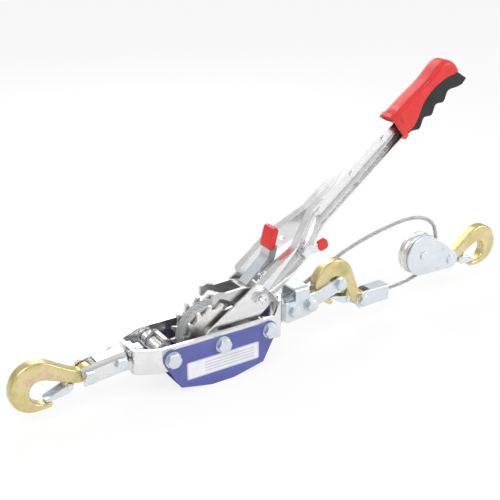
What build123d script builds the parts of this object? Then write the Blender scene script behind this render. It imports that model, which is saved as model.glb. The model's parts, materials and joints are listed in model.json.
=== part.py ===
from build123d import *
import math
import os

os.makedirs("parts", exist_ok=True)

# Hand-operated cable puller (come along winch).  Millimetres, +Z up.
# X runs along the frame: the swivel hook is at -X, the cable leaves towards +X.
# Y is the direction of the drum's axle; the near side is -Y.
# The origin is the centre of the flat that the winch rests on, below the axle.

# ---------------------------------------------------------------- driving sizes
axle_height = 52.0          # axle centre above the resting flat
running_gap = 0.1           # sideways gap between plates that slide on each other
pin_gap = 0.05              # radial gap of a pin or shaft in its hole
cord_gap = 0.4              # gap between the free cable and what it passes

# frame
frame_inner_width = 61.0
strap = 4.0                 # frame strap thickness
strap_height = 32.0
front_bolt_x = -70.0
rear_bolt_x = 69.0
taper_x = -84.0             # where the rails start to close towards the nose
nose_x = -113.5             # outer face of the nose
nose_half_width = 20.0
rear_bend_x = 88.0          # where the rails bend in to the tail
tail_x = 104.0              # where the tail tabs run straight again
tail_end_x = 137.5
tail_inner = 7.0            # half the space between the tail tabs
shoulder_rise = 18.0        # the rear shoulders stand this far above the rails
nose_plate_thickness = 5.0

# threaded fasteners
bolt_d = 10.0
head_af = 17.0              # hexagon across flats
head_height = 6.5
nut_height = 8.0
washer_d = 21.0
washer_thickness = 1.8

# guard under the frame
guard = 2.0                 # guard sheet thickness
guard_top = 10.0            # top edge above the axle
guard_flat_half = 16.0      # half length of the resting flat
guard_end_depth = 43.0      # depth of its outer corners below the axle
guard_front_x = -59.0
guard_rear_x = 60.0
ear_radius = 11.5
label_length = 104.0
label_height = 24.0
label_thickness = 0.3

# drum and ratchet
tooth_count = 16
wheel_radius = 45.0
tooth_depth = 7.0
wheel_thickness = 4.0
drum_half_width = 13.0      # half the space between the two wheels
drum_radius = 16.0
hub_radius = 12.0
winding_radius = 41.5
cable_d = 5.6
winding_turns = 4

# handle
handle_angle = 38.0         # rest angle above +X
sheet = 3.0                 # pressed handle sheet
yoke_outer = 25.0           # outer face of the yoke legs, from the middle
lip = 9.0                   # width of the outward lips of the handle halves
yoke_hub_radius = 20.0
leg_half_height = 13.0
beam_half_height = 15.5
leg_start = 83.0            # distance from the axle along the handle
leg_bend = 150.0
beam_start = 203.0
beam_end = 456.0
rivet_first = 215.6
rivet_pitch = 64.3
rivet_d = 8.0
pawl_pivot_u = 74.0
pawl_pivot_v = -4.5
anchor_u = 157.0
anchor_v = -1.5

# grip
grip_start = 364.0
grip_end = 484.0
grip_wall = 2.2             # shell outside the beam that it slides over
collar_length = 7.0
collar_extra = 3.0
insert_depth = 10.0         # how far the finger ridges stand below the shell

# drive pawl and its lever
drive_contact_angle = 94.5  # where the drive pawl meets its tooth, about the axle
drive_release = 7.0         # degrees that the drive pawl is held out of the teeth
pawl_thickness = 3.6
pawl_clearance = 0.8        # pawl arm outside the tooth circle
lever_half_width = 9.0
lever_sheet = 2.5
cap_wall = 2.2

# holding pawl
hold_release = 14.5
coil_d = 17.0
coil_wire = 2.2

# rear fork and link
fork_bolt_x = 124.6
fork_bolt_z = 1.0
link_bolt_x = 149.8
link_bolt_z = 4.4
fork_sheet = 3.0
link_sheet = 3.0
link_length = 54.7
link_angle = 17.0
small_bolt_d = 9.0
small_af = 15.0
small_head = 6.0

# swivel and clevises
clevis_sheet = 3.5
clevis_half_width = 13.0
clevis_half_height = 11.0
eye_x = -125.5
clevis_pitch = 41.0
clevis_droop = 6.0
front_hook_droop = 4.0
swivel_shank_d = 14.0
eye_radius = 8.6
eye_half_thickness = 7.0

# hooks
hook_half_thickness = 7.5
hook_eye_radius = 11.0
hook_edge = 3.0
throat_x = 58.0
throat_radius = 13.0
latch_sheet = 1.6
latch_half_width = 5.5

# pulley block and cable socket
sheave_x = 354.0
sheave_z = 26.0
groove_radius = 26.8
sheave_flange_radius = 31.0
sheave_half_width = 7.0
cheek_sheet = 3.0
cheek_radius = 30.0
cheek_small_radius = 13.5
block_hook_x = 408.0
block_hook_z = 8.0
block_hook_angle = 1.0
socket_bolt_x = 244.0
socket_z = -15.0
socket_half_height = 11.5
socket_half_width = 10.5
socket_end_x = 290.0
middle_hook_angle = 147.0

# ---------------------------------------------------------------- derived sizes
rail_inner = frame_inner_width / 2
rail_outer = rail_inner + strap
half_height = strap_height / 2
tooth_pitch = 360 / tooth_count
root_radius = wheel_radius - tooth_depth
wheel_outer = drum_half_width + wheel_thickness
guard_outer = rail_outer + guard
yoke_inner = yoke_outer - sheet
tail_outer = tail_inner + strap
fork_inner = tail_outer
fork_outer = fork_inner + fork_sheet
link_outer = fork_inner - running_gap
link_inner = link_outer - link_sheet
link_end_x = link_bolt_x + link_length * math.cos(math.radians(link_angle))
link_end_z = link_bolt_z + link_length * math.sin(math.radians(link_angle))
hold_contact_angle = drive_contact_angle + 5 * tooth_pitch
block_inner = hook_half_thickness + running_gap
block_outer = block_inner + cheek_sheet
clevis_inner = clevis_half_width - clevis_sheet


# ---------------------------------------------------------------- helpers
def side(y=0.0, x=0.0, z=0.0, tilt=0.0):
    """Plane at y, local x along +X tilted up by tilt, extruding towards -Y."""
    a = math.radians(tilt)
    return Plane(origin=(x, y, axle_height + z), x_dir=(math.cos(a), 0, math.sin(a)), z_dir=(0, -1, 0))


def handle_side(y=0.0):
    """Side plane whose local x runs along the handle from the axle."""
    return side(y, tilt=handle_angle)


def handle_plan(v=0.0):
    """Plane along the handle: local x along it, local y across the winch."""
    a = math.radians(handle_angle)
    along = Vector(math.cos(a), 0, math.sin(a))
    up = Vector(-math.sin(a), 0, math.cos(a))
    return Plane(origin=Vector(0, 0, axle_height) + up * v, x_dir=along, z_dir=up)


def handle_point(u, v):
    """World x and z (from the axle) of a point given along and across the handle."""
    a = math.radians(handle_angle)
    return u * math.cos(a) - v * math.sin(a), u * math.sin(a) + v * math.cos(a)


def polar(radius, angle):
    return radius * math.cos(math.radians(angle)), radius * math.sin(math.radians(angle))


def turned(point, centre, angle):
    """Point turned about centre by angle degrees."""
    a = math.radians(angle)
    dx = point[0] - centre[0]
    dy = point[1] - centre[1]
    return (centre[0] + dx * math.cos(a) - dy * math.sin(a), centre[1] + dx * math.sin(a) + dy * math.cos(a))


pieces = {}


def hex_bolt(places, grip_half, d, af, head, nut):
    """Bolts along Y through +-grip_half with their nuts, head on the near side, nut on the far side."""
    with BuildPart() as bolt:
        for x, z in places:
            with BuildSketch(side(grip_half + nut + d * 0.3, x, z)):
                Circle(d / 2 - pin_gap)
            extrude(amount=2 * grip_half + nut + d * 0.3 + head / 2)
            with BuildSketch(side(-grip_half, x, z)):
                RegularPolygon(af / 2, 6, major_radius=False)
            extrude(amount=head)
            with BuildSketch(side(grip_half + nut, x, z)):
                RegularPolygon(af / 2, 6, major_radius=False, rotation=20)
                Circle(d / 2, mode=Mode.SUBTRACT)
            extrude(amount=nut)
    return bolt


# ---------------------------------------------------------------- frame strap
frame_bolts = [(front_bolt_x, 0), (0, 0), (rear_bolt_x, 0)]

with BuildPart() as frame_strap:
    with BuildSketch(Plane.XY.offset(axle_height - half_height)):
        with BuildLine():
            FilletPolyline(
                (tail_end_x, -tail_outer), (tail_x, -tail_outer), (rear_bend_x, -rail_outer),
                (taper_x, -rail_outer), (nose_x, -nose_half_width), (nose_x, nose_half_width),
                (taper_x, rail_outer), (rear_bend_x, rail_outer), (tail_x, tail_outer),
                (tail_end_x, tail_outer), radius=2 * strap,
            )
            offset(amount=strap, side=Side.RIGHT)
        make_face()
    extrude(amount=strap_height + shoulder_rise)
    with BuildSketch(side()) as strap_side:
        with BuildLine():
            Polyline(
                (nose_x - strap, -half_height), (rear_bend_x + 1, -half_height),
                (rear_bend_x + 9, -half_height + 5), (tail_end_x + strap, -half_height + 5),
                (tail_end_x + strap, half_height - 2), (tail_x + 6, half_height - 2),
                (tail_x - 1, half_height + shoulder_rise), (rear_bend_x - 2, half_height + shoulder_rise),
                (rear_bend_x - 10, half_height), (nose_x - strap, half_height), close=True,
            )
        make_face()
        fillet(strap_side.vertices().filter_by(lambda p: 0 < p.X < tail_end_x), radius=strap)
    extrude(amount=rail_outer + strap, both=True, mode=Mode.INTERSECT)
    for x, z in frame_bolts:
        with BuildSketch(side(0, x, z)):
            Circle(bolt_d / 2)
        extrude(amount=rail_outer + strap, both=True, mode=Mode.SUBTRACT)
    with BuildSketch(side(0, fork_bolt_x, fork_bolt_z)):
        Circle(small_bolt_d / 2)
    extrude(amount=rail_outer, both=True, mode=Mode.SUBTRACT)
    with BuildSketch(Plane(origin=(nose_x, 0, axle_height), x_dir=(0, 1, 0), z_dir=(1, 0, 0))):
        Circle(swivel_shank_d / 2 + pin_gap)
    extrude(amount=2 * strap, both=True, mode=Mode.SUBTRACT)
pieces["frame_strap"] = frame_strap

with BuildPart() as nose_plate:
    plate_face = nose_x + strap
    with BuildSketch(Plane(origin=(plate_face, 0, axle_height), x_dir=(0, 1, 0), z_dir=(1, 0, 0))):
        RectangleRounded(2 * nose_half_width - 4 * strap, strap_height - 2, 4)
        Circle(swivel_shank_d / 2 + pin_gap, mode=Mode.SUBTRACT)
    extrude(amount=nose_plate_thickness)
pieces["nose_plate"] = nose_plate

# ---------------------------------------------------------------- guard and label
guard_points = [
    (front_bolt_x - 9, -9), (guard_front_x, -guard_end_depth),
    (-guard_flat_half, -axle_height), (guard_flat_half, -axle_height),
    (guard_rear_x, -guard_end_depth), (rear_bolt_x + 9.5, -8),
]

with BuildPart() as guard_channel:
    with BuildSketch(side()) as guard_side:
        with BuildLine():
            Polyline(
                *guard_points, (rear_bolt_x + 6, guard_top), (front_bolt_x - 6, guard_top), close=True,
            )
        make_face()
        with Locations((front_bolt_x, 0), (rear_bolt_x, 0)):
            Circle(ear_radius)
    extrude(amount=guard_outer, both=True)
    with BuildSketch(side()):
        with BuildLine():
            Polyline(
                (front_bolt_x - 3 * ear_radius, guard_top + ear_radius),
                (front_bolt_x - 3 * ear_radius, -half_height - 30),
                (guard_front_x - guard, -guard_end_depth + guard),
                (-guard_flat_half, guard - axle_height), (guard_flat_half, guard - axle_height),
                (guard_rear_x + guard, -guard_end_depth + guard),
                (rear_bolt_x + 3 * ear_radius, -half_height - 30),
                (rear_bolt_x + 3 * ear_radius, guard_top + ear_radius), close=True,
            )
        make_face()
    extrude(amount=rail_outer, both=True, mode=Mode.SUBTRACT)
    for x, z in frame_bolts:
        with BuildSketch(side(0, x, z)):
            Circle(bolt_d / 2)
        extrude(amount=2 * guard_outer, both=True, mode=Mode.SUBTRACT)
    fillet(guard_channel.edges().filter_by(Axis.Y).filter_by(
        lambda e: e.center().Z < axle_height - guard_end_depth + 1 and abs(e.center().X) > guard_front_x / -2
    ), radius=guard * 0.8)
pieces["guard_channel"] = guard_channel

with BuildPart() as guard_label:
    with BuildSketch(side(-guard_outer, 1, -23.4)):
        RectangleRounded(label_length, label_height, 2.5)
    extrude(amount=label_thickness)
pieces["guard_label"] = guard_label

# ---------------------------------------------------------------- frame bolts, washers, nuts
washer_face = guard_outer + washer_thickness
pieces["cross_bolts"] = hex_bolt(
    [(front_bolt_x, 0), (rear_bolt_x, 0)], washer_face, bolt_d, head_af, head_height, nut_height)
pieces["drum_axle"] = hex_bolt([(0, 0)], washer_face, bolt_d, head_af, head_height, nut_height)

with BuildPart() as frame_washers:
    for x, z in frame_bolts:
        for y in (-guard_outer, washer_face):
            with BuildSketch(side(y, x, z)):
                Circle(washer_d / 2)
                Circle(bolt_d / 2, mode=Mode.SUBTRACT)
            extrude(amount=washer_thickness)
pieces["frame_washers"] = frame_washers

with BuildPart() as rear_sleeve:
    with BuildSketch(side(0, rear_bolt_x)):
        Circle(bolt_d / 2 + 3)
        Circle(bolt_d / 2, mode=Mode.SUBTRACT)
    extrude(amount=rail_inner, both=True)
pieces["rear_sleeve"] = rear_sleeve

# ---------------------------------------------------------------- rear fork, cable guide, link
with BuildPart() as rear_fork:
    with BuildSketch(side(-fork_inner)) as fork_outline:
        with BuildLine():
            Polyline(
                (tail_x + 6, -14), (tail_x + 6, 15), (link_bolt_x - 4, 19), (link_bolt_x + 9, 14),
                (link_bolt_x + 12, 2), (link_bolt_x + 3, -9), close=True,
            )
        make_face()
        fillet(fork_outline.vertices(), radius=4)
        with Locations((fork_bolt_x, fork_bolt_z), (link_bolt_x, link_bolt_z)):
            Circle(small_bolt_d / 2, mode=Mode.SUBTRACT)
    extrude(amount=fork_sheet)
    mirror(about=Plane.XZ)
pieces["rear_fork"] = rear_fork

fork_grip = fork_outer + washer_thickness
pieces["fork_bolt"] = hex_bolt(
    [(fork_bolt_x, fork_bolt_z)], fork_outer, small_bolt_d, small_af, small_head, small_head)
pieces["link_pivot_bolt"] = hex_bolt(
    [(link_bolt_x, link_bolt_z)], fork_grip, small_bolt_d, small_af, small_head, small_head)

with BuildPart() as fork_washers:
    for y in (-fork_outer, fork_grip):
        with BuildSketch(side(y, link_bolt_x, link_bolt_z)):
            Circle(washer_d / 2)
            Circle(small_bolt_d / 2, mode=Mode.SUBTRACT)
        extrude(amount=washer_thickness)
pieces["fork_washers"] = fork_washers

guide_x = 134.5
guide_length = 22.0
guide_top = 34.0
guide_foot = 15.6
with BuildPart() as cable_guide:
    with BuildSketch(Plane(origin=(guide_x - guide_length / 2, 0, axle_height), x_dir=(0, 1, 0),
                           z_dir=(1, 0, 0))) as guide_section:
        with BuildLine():
            FilletPolyline(
                (-fork_outer - fork_sheet, guide_foot), (-fork_outer - fork_sheet, guide_top),
                (fork_outer + fork_sheet, guide_top), (fork_outer + fork_sheet, guide_foot),
                radius=fork_sheet + 3,
            )
            offset(amount=fork_sheet, side=Side.RIGHT)
        make_face()
    extrude(amount=guide_length)
pieces["cable_guide"] = cable_guide

with BuildPart() as link_plates:
    with BuildSketch(side(-link_inner, link_bolt_x, link_bolt_z, link_angle)) as link_outline:
        SlotCenterPoint((link_length / 2, 0), (link_length, 0), 20)
        with Locations((0, 0), (link_length, 0)):
            Circle(small_bolt_d / 2, mode=Mode.SUBTRACT)
    extrude(amount=link_sheet)
    mirror(about=Plane.XZ)
pieces["link_plates"] = link_plates
pieces["link_end_bolt"] = hex_bolt(
    [(link_end_x, link_end_z)], link_outer, small_bolt_d, small_af, small_head, small_head)

# ---------------------------------------------------------------- drum, ratchet wheels, winding
with BuildPart() as drum_core:
    with BuildSketch(side()):
        Circle(drum_radius)
        Circle(bolt_d / 2, mode=Mode.SUBTRACT)
    extrude(amount=drum_half_width, both=True)
    with BuildSketch(side()):
        Circle(hub_radius)
        Circle(bolt_d / 2, mode=Mode.SUBTRACT)
    extrude(amount=yoke_inner - running_gap, both=True)
pieces["drum_core"] = drum_core

tooth_tip = 4.0             # degrees of flat at a tooth's tip
tooth_back = 14.0           # degrees from the steep face to the foot of the sloping back
for label, y in (("ratchet_wheel_near", -drum_half_width), ("ratchet_wheel_far", wheel_outer)):
    with BuildPart() as wheel:
        with BuildSketch(side(y)):
            Circle(root_radius)
            for k in range(tooth_count):
                face = drive_contact_angle + k * tooth_pitch
                with BuildLine():
                    Polyline(
                        polar(root_radius - 2, face), polar(wheel_radius, face),
                        polar(wheel_radius, face + tooth_tip), polar(root_radius, face + tooth_back),
                        polar(root_radius - 2, face + tooth_back), close=True,
                    )
                make_face()
            Circle(hub_radius, mode=Mode.SUBTRACT)
        extrude(amount=wheel_thickness)
    pieces[label] = wheel

turn_width = (2 * drum_half_width - 2 * running_gap) / winding_turns
with BuildPart() as cable_winding:
    with BuildSketch(Plane(origin=(0, 0, axle_height), x_dir=(1, 0, 0), z_dir=(0, 0, 1))):
        with BuildLine():
            crest = winding_radius
            groove = winding_radius - turn_width / 4
            start = -drum_half_width + running_gap
            bottom = Line((drum_radius, -start), (drum_radius, start))
            first = Line(bottom @ 1, (groove, start))
            edge = first @ 1
            for k in range(winding_turns):
                middle = (crest, start + (k + 0.5) * turn_width)
                finish = (groove, start + (k + 1) * turn_width)
                arc = ThreePointArc(edge, middle, finish)
                edge = arc @ 1
            Line(edge, bottom @ 0)
        make_face()
    revolve(axis=Axis((0, 0, axle_height), (0, 1, 0)))
pieces["cable_winding"] = cable_winding

with BuildPart() as axle_spacers:
    for y in (-yoke_outer - running_gap, rail_inner):
        with BuildSketch(side(y)):
            Circle(hub_radius)
            Circle(bolt_d / 2, mode=Mode.SUBTRACT)
        extrude(amount=rail_inner - yoke_outer - running_gap)
pieces["axle_spacers"] = axle_spacers

# ---------------------------------------------------------------- handle halves
def half_outline(inset):
    """Side outline of a handle half, drawn in from its edges by inset along the lipped part."""
    low, high = leg_half_height - inset, beam_half_height - inset
    return [
        (leg_start, low), (leg_bend, low), (beam_start, high), (beam_end, high),
        (beam_end, -high), (beam_start, -high), (leg_bend, -low), (leg_start, -low),
    ]


def handle_half(mirrored):
    """One pressed half of the handle: flat yoke leg, splayed channel and half of the I-beam."""
    web = [
        (-yoke_hub_radius, -yoke_outer), (leg_bend, -yoke_outer), (beam_start, -sheet),
        (beam_end, -sheet), (beam_end, 0), (beam_start, 0), (leg_bend, -yoke_inner),
        (-yoke_hub_radius, -yoke_inner),
    ]
    lips = [
        (leg_start, -yoke_outer), (leg_start + lip / 2, -yoke_outer - lip), (leg_bend, -yoke_outer - lip),
        (beam_start, -sheet - lip), (beam_end, -sheet - lip), (beam_end, -sheet),
        (beam_start, -sheet), (leg_bend, -yoke_outer),
    ]
    with BuildPart() as pocket:
        with BuildSketch(handle_plan(-2 * beam_half_height)):
            with BuildLine():
                Polyline(*lips, close=True)
            make_face()
        extrude(amount=4 * beam_half_height)
        with BuildSketch(handle_side()) as inner:
            with BuildLine():
                Polyline((leg_start - 1, 0), *half_outline(sheet)[1:4], (beam_end + 1, beam_half_height - sheet),
                         (beam_end + 1, sheet - beam_half_height), *half_outline(sheet)[4:7], close=True)
            make_face()
        extrude(amount=2 * yoke_outer, mode=Mode.INTERSECT)
    with BuildPart() as half:
        with BuildSketch(handle_plan(-2 * yoke_outer)):
            for shape in (web, lips):
                with BuildLine():
                    Polyline(*shape, close=True)
                make_face()
        extrude(amount=4 * yoke_outer)
        with BuildSketch(handle_side()) as outline:
            Circle(yoke_hub_radius)
            with BuildLine():
                Polyline(
                    (-2, yoke_hub_radius), *half_outline(0)[:-1], (leg_start + 7, -leg_half_height),
                    (leg_start + 6, -25), (52, -24), (0, -yoke_hub_radius), close=True,
                )
            make_face()
        extrude(amount=2 * yoke_outer, mode=Mode.INTERSECT)
        add(pocket.part, mode=Mode.SUBTRACT)
        with BuildSketch(handle_side()):
            Circle(bolt_d / 2 + pin_gap)
            with Locations((pawl_pivot_u, pawl_pivot_v), (anchor_u, anchor_v)):
                Circle(rivet_d / 2)
            with Locations(*[(rivet_first + k * rivet_pitch, 0) for k in range(3)]):
                Circle(rivet_d / 2)
        extrude(amount=2 * yoke_outer, mode=Mode.SUBTRACT)
    if mirrored:
        with BuildPart() as far_half:
            add(half.part)
            mirror(about=Plane.XZ, mode=Mode.REPLACE)
        return far_half
    return half


pieces["handle_half_near"] = handle_half(False)
pieces["handle_half_far"] = handle_half(True)

with BuildPart() as handle_rivets:
    for k in range(3):
        u = rivet_first + k * rivet_pitch
        x, z = handle_point(u, 0)
        with BuildSketch(side(0, x, z)):
            Circle(rivet_d / 2)
        extrude(amount=sheet, both=True)
        for y in (-sheet, sheet + 1.6):
            with BuildSketch(side(y, x, z)):
                Circle(rivet_d / 2 + 1)
            extrude(amount=1.6)
pieces["handle_rivets"] = handle_rivets

pivot_x, pivot_z = handle_point(pawl_pivot_u, pawl_pivot_v)
with BuildPart() as pawl_pivot_bolt:
    with BuildSketch(side(yoke_outer + running_gap, pivot_x, pivot_z)):
        Circle(rivet_d / 2)
    extrude(amount=2 * yoke_outer + small_head + 4)
    with BuildSketch(side(yoke_outer + small_head, pivot_x, pivot_z)):
        RegularPolygon(small_af / 2, 6, major_radius=False)
    extrude(amount=small_head)
    with BuildSketch(side(-yoke_outer, pivot_x, pivot_z)):
        RegularPolygon(small_af / 2, 6, major_radius=False, rotation=12)
        Circle(rivet_d / 2 + pin_gap, mode=Mode.SUBTRACT)
    extrude(amount=small_head)
pieces["pawl_pivot_bolt"] = pawl_pivot_bolt

# ---------------------------------------------------------------- grip
beam_slot_height = 2 * (beam_half_height + pin_gap)
beam_slot_width = 2 * (sheet + lip + pin_gap)
grip_half_height = beam_slot_height / 2 + grip_wall
grip_half_width = beam_slot_width / 2 + grip_wall


def handle_cross(u):
    """Plane across the handle at u: local x across the winch, local y up the handle."""
    a = math.radians(handle_angle)
    along = Vector(math.cos(a), 0, math.sin(a))
    return Plane(origin=Vector(0, 0, axle_height) + along * u, x_dir=(0, 1, 0), z_dir=along)


seam_v = -4.0               # seam between shell and insert over most of the grip
ridge_v = -grip_half_height - insert_depth + 2
with BuildPart() as grip_cutter:
    with BuildSketch(handle_side()):
        with BuildLine():
            start = (grip_start + collar_length, -14)
            rise = Spline(
                start, (grip_start + 28, -13), (grip_start + 46, -3), (grip_start + 80, seam_v + 6),
                (grip_end - 8, -8),
            )
            Polyline(rise @ 1, (grip_end + 40, -12), (grip_end + 40, 3 * ridge_v), (start[0], 3 * ridge_v),
                     start)
        make_face()
    extrude(amount=2 * grip_half_width, both=True)

with BuildPart() as grip_shell:
    with BuildSketch(handle_side()) as shell_side:
        with BuildLine():
            top = Spline(
                (grip_start, grip_half_height + 1.5), (grip_start + 45, grip_half_height + 0.5),
                (grip_start + 80, grip_half_height), (grip_end - 12, grip_half_height + 0.5),
                (grip_end, 4),
            )
            Polyline(top @ 1, (grip_end - 2, -12), (grip_start, -grip_half_height - 2), top @ 0)
        make_face()
    extrude(amount=grip_half_width, both=True)
    fillet(grip_shell.edges().filter_by(lambda e: e.length > 40 and abs(e.center().Y) > 1
                                        and e.center().Z > 0).sort_by(Axis.Z)[-2:], radius=7)
    with BuildSketch(handle_cross(grip_start)):
        RectangleRounded(2 * (grip_half_width + collar_extra - 1), 2 * (grip_half_height + collar_extra), 9)
    extrude(amount=collar_length)
    add(grip_cutter.part, mode=Mode.SUBTRACT)
    with BuildSketch(handle_cross(grip_start - 1)):
        Rectangle(beam_slot_width, beam_slot_height)
    extrude(amount=beam_end - grip_start + 2, mode=Mode.SUBTRACT)
pieces["grip_shell"] = grip_shell

with BuildPart() as grip_insert:
    with BuildSketch(handle_side()) as insert_side:
        with BuildLine():
            ridges = [(grip_start + collar_length, ridge_v + 8)]
            ridge_pitch = (grip_end - 14 - grip_start - collar_length) / 4
            for k in range(4):
                u = grip_start + collar_length + k * ridge_pitch
                ridges.append((u + 0.34 * ridge_pitch, ridge_v + 6.5))
                ridges.append((u + 0.80 * ridge_pitch, ridge_v + (0 if k < 3 else 2)))
            ridges.append((grip_end - 4, ridge_v - 4))
            under = Spline(*ridges)
            Polyline(under @ 1, (grip_end + 4, ridge_v - 2), (grip_end - 3, -10), (grip_end - 5, 10),
                     (grip_start + collar_length, 10), under @ 0)
        make_face()
    extrude(amount=grip_half_width - 1, both=True)
    add(grip_cutter.part, mode=Mode.INTERSECT)
    with BuildSketch(handle_cross(grip_start - 1)):
        Rectangle(beam_slot_width, beam_slot_height)
    extrude(amount=beam_end - grip_start + 2, mode=Mode.SUBTRACT)
pieces["grip_insert"] = grip_insert

# ---------------------------------------------------------------- drive pawl and lever
clear_radius = wheel_radius + pawl_clearance
pawl_pivot = (pivot_x, pivot_z)


def pawl_tip(contact, back_radius):
    """Tip of a pawl in its tooth: contact side, inner end, then the start of the arc outside the teeth."""
    inner = root_radius + pawl_clearance
    return [
        polar(back_radius, contact - 0.8), polar(inner, contact - 0.8),
        polar(inner, contact - 7.0), polar(clear_radius, contact - 14.0),
    ]


# drawn engaged, then turned about the pivot to the released position
drive_depth = 8.0           # depth of the pawl arm outside the tooth circle
inner_edge = [polar(clear_radius, drive_contact_angle - 14 - step) for step in range(10, 40, 10)]
drive_outline = [
    *pawl_tip(drive_contact_angle, clear_radius + 5), *inner_edge, (pivot_x - 12, pivot_z - 8),
    (pivot_x, pivot_z - 8.5), (pivot_x + 8.5, pivot_z), (pivot_x + 2, pivot_z + 11),
    (pivot_x - 22, pivot_z + 13), polar(clear_radius + drive_depth, drive_contact_angle - 22),
    polar(clear_radius + drive_depth, drive_contact_angle - 9),
]
drive_released = [turned(p, pawl_pivot, -drive_release) for p in drive_outline]
arm_near = drum_half_width + (wheel_thickness - pawl_thickness) / 2
with BuildPart() as drive_pawl:
    with BuildSketch(side(-arm_near)) as pawl_side:
        with BuildLine():
            Polyline(*drive_released, close=True)
        make_face()
        fillet(pawl_side.vertices().filter_by(lambda p: p.Y > pivot_z + 8), radius=3)
        with Locations(pawl_pivot):
            Circle(8.5)
            Circle(rivet_d / 2 + pin_gap, mode=Mode.SUBTRACT)
    extrude(amount=pawl_thickness)
    mirror(about=Plane.XZ)
    with BuildSketch(side(-arm_near, pivot_x - 4, pivot_z + 10.5, handle_angle - 45)):
        RectangleRounded(26, 3, 1)
    extrude(amount=-2 * arm_near)
pieces["drive_pawl"] = drive_pawl

# sleeve that keeps the two pawl arms apart on their bolt
with BuildPart() as pawl_sleeve:
    with BuildSketch(side(-arm_near, pivot_x, pivot_z)):
        Circle(rivet_d / 2 + 2)
        Circle(rivet_d / 2 + pin_gap, mode=Mode.SUBTRACT)
    extrude(amount=-2 * arm_near)
pieces["pawl_sleeve"] = pawl_sleeve

spring_y = -15.5            # the pawl spring lies between the lever and the near leg
spring_peg = (97.0, 8.4)
lever_foot = (75.6, 10.5)
lever_knee = (120.0, 13.0)
lever_tip = (142.0, 30.0)
with BuildPart() as pawl_lever:
    with BuildSketch(handle_side()):
        with BuildLine():
            FilletPolyline(lever_foot, lever_knee, lever_tip, radius=18)
            offset(amount=lever_sheet, side=Side.LEFT)
        make_face()
    extrude(amount=lever_half_width, both=True)
    with BuildSketch(handle_side(-lever_half_width + lever_sheet)):
        with BuildLine():
            FilletPolyline((lever_foot[0] + 12, lever_foot[1] + 1), (lever_knee[0] + 1, lever_knee[1]),
                           (lever_tip[0] - 8, lever_tip[1] - 6), radius=14)
            offset(amount=8, side=Side.RIGHT)
        make_face()
    extrude(amount=lever_sheet)
    mirror(about=Plane.XZ)
    with BuildSketch(handle_side(-lever_half_width + lever_sheet)):
        with Locations(spring_peg):
            Circle(2)
    extrude(amount=10)
pieces["pawl_lever"] = pawl_lever

cap_angle = math.degrees(math.atan2(lever_tip[1] - lever_knee[1], lever_tip[0] - lever_knee[0])) + handle_angle


def lever_cap(u, v, angle, half_width, length, thickness, lever):
    """Dipped plastic cap over a lever's tip, hollow where the lever is."""
    x, z = handle_point(u, v)
    with BuildPart() as cap:
        with BuildSketch(side(0, x, z, angle)) as cap_side:
            with Locations((0, thickness / 2)):
                SlotCenterPoint((0, 0), (length / 2, 0), thickness + 2 * cap_wall + 3)
        extrude(amount=half_width + cap_wall, both=True)
        fillet(cap.edges().filter_by(Axis.Y, reverse=True).filter_by(
            lambda e: e.length > 3), radius=cap_wall)
        add(lever.part, mode=Mode.SUBTRACT)
    return cap


pieces["pawl_lever_cap"] = lever_cap(
    lever_tip[0] - 1, lever_tip[1] - 1, cap_angle, lever_half_width, 20, lever_sheet, pawl_lever)


# ---------------------------------------------------------------- pawl spring, anchor pin, trip lever
anchor_x, anchor_z = handle_point(anchor_u, anchor_v)
trip_sheet = 2.5
with BuildPart() as spring_anchor_pin:
    pin_start = spring_y + 4
    pin_end = -yoke_outer - lip - 2 * running_gap - trip_sheet
    with BuildSketch(side(pin_start, anchor_x, anchor_z)):
        Circle(rivet_d / 2)
    extrude(amount=pin_start - pin_end)
    with BuildSketch(side(-yoke_outer, anchor_x, anchor_z)):
        Circle(rivet_d / 2 + 1.5)
    extrude(amount=lip)
    with BuildSketch(side(pin_end, anchor_x, anchor_z)):
        Circle(rivet_d / 2 + 1.5)
    extrude(amount=1.5)
pieces["spring_anchor_pin"] = spring_anchor_pin

spring_coil_d = 11.0
spring_start_u, spring_start_v = 99.0, 4.0
spring_turns = 9
with BuildPart() as pawl_spring:
    sx, sz = handle_point(spring_start_u, spring_start_v)
    spring_length = math.hypot(anchor_u - spring_start_u, anchor_v - spring_start_v)
    spring_tilt = handle_angle + math.degrees(
        math.atan2(anchor_v - spring_start_v, anchor_u - spring_start_u))
    st = math.radians(spring_tilt)
    spring_plane = Plane(origin=(sx, spring_y, axle_height + sz), x_dir=(0, 1, 0),
                         z_dir=(math.cos(st), 0, math.sin(st)))
    coil_pitch = (spring_length - 16) / spring_turns
    for k in range(spring_turns):
        with BuildSketch(spring_plane.offset(3 + k * coil_pitch)):
            Circle(spring_coil_d / 2)
            Circle(spring_coil_d / 2 - coil_wire, mode=Mode.SUBTRACT)
        extrude(amount=coil_wire)
    with BuildSketch(spring_plane.offset(0)):
        with Locations((0, spring_coil_d / 2 - coil_wire / 2)):
            Rectangle(coil_wire, coil_wire * 0.9)
    extrude(amount=spring_length - 6)
pieces["pawl_spring"] = pawl_spring

trip_y = -yoke_outer - lip - running_gap
with BuildPart() as trip_lever:
    with BuildSketch(side(trip_y, anchor_x, anchor_z)) as trip_side:
        Circle(6.5)
        with BuildLine():
            FilletPolyline((0, 0), (14, 0), (26, 4), radius=8)
            offset(amount=5, side=Side.BOTH)
        make_face()
        Circle(rivet_d / 2 + pin_gap, mode=Mode.SUBTRACT)
    extrude(amount=trip_sheet)
pieces["trip_lever"] = trip_lever

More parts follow.
